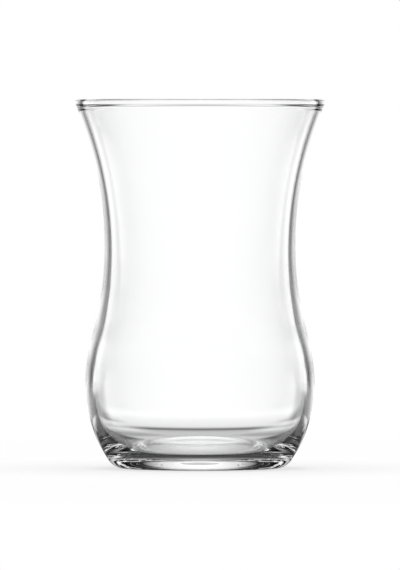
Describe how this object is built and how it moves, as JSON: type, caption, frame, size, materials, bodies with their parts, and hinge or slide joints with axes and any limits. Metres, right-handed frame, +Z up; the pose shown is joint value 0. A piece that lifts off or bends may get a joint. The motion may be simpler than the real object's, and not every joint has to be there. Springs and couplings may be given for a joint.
{
  "type": "tea glass",
  "caption": "Waisted tea glass in clear glass: a flared mouth with a rounded lip, a narrow waist, a full bulb below it and a thick base with a shallow hollow underneath.",
  "frame": {"origin": "on the axis of the glass, in the plane of the table that it stands on", "axes": "+Z up along the axis, out of the mouth; X and Y are any two directions across it, as the glass is round"},
  "size_m": [0.0624, 0.0624, 0.092],
  "materials": {
    "clear_glass": "clear, fire-polished"
  },
  "bodies": {
    "root": {"glass_body": "clear_glass"}
  },
  "joints": []
}
